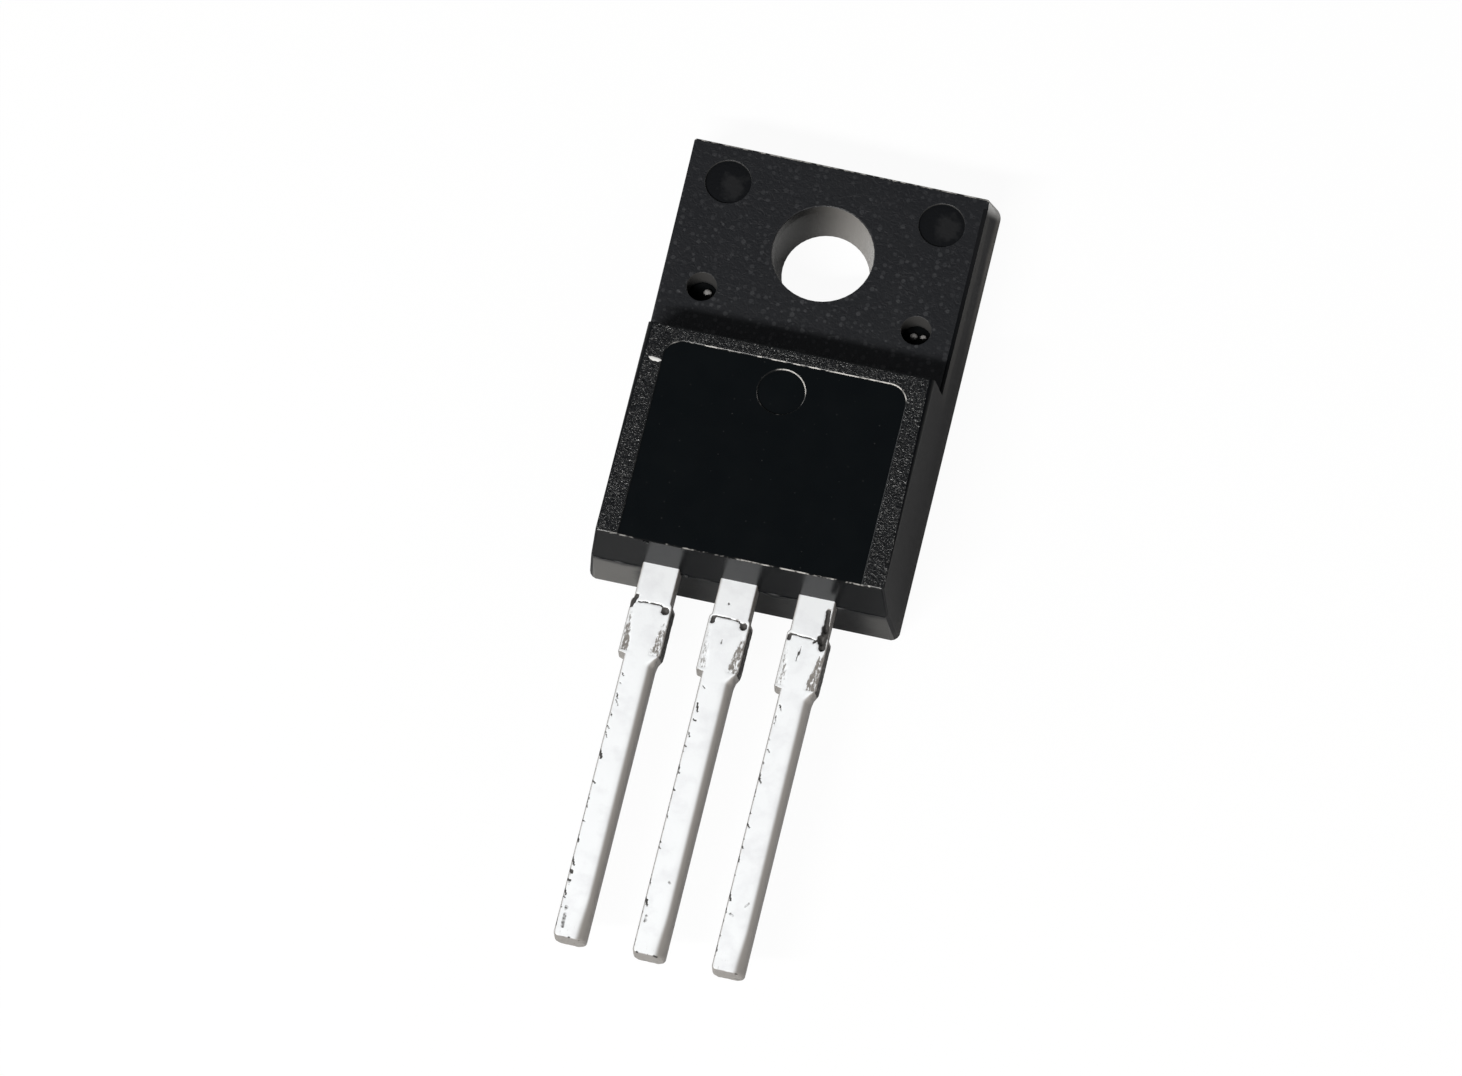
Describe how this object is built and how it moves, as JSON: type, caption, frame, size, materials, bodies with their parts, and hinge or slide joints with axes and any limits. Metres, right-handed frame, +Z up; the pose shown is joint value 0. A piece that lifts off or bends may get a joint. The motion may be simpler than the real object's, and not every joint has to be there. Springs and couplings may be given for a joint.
{
  "type": "power transistor",
  "caption": "Power transistor in a black fully moulded flat package: a mounting tab with a screw hole, a thick block over the chip and straight tinned leads.",
  "frame": {"origin": "axis of the screw hole, at the flat back face", "axes": "+Z up out of the back face through the hole to the front, +Y from the leads to the tab's top edge, +X to the right seen from the front"},
  "size_m": [0.0102, 0.0285, 0.0044],
  "materials": {
    "epoxy": "black moulded epoxy, spark-eroded texture on the tab and the block's border, smooth in the panel",
    "tinned_copper": "matt bright tin plating over copper",
    "solder": "solder, sealed inside",
    "silicon": "silicon chip, sealed inside",
    "bond_wire": "aluminium bond wire, sealed inside"
  },
  "bodies": {
    "root": {"moulded_body": "epoxy", "header_and_collector": "tinned_copper", "base_lead": "tinned_copper", "emitter_lead": "tinned_copper", "die_attach": "solder", "chip": "silicon", "base_wire": "bond_wire", "emitter_wire_1": "bond_wire", "emitter_wire_2": "bond_wire"}
  },
  "joints": []
}
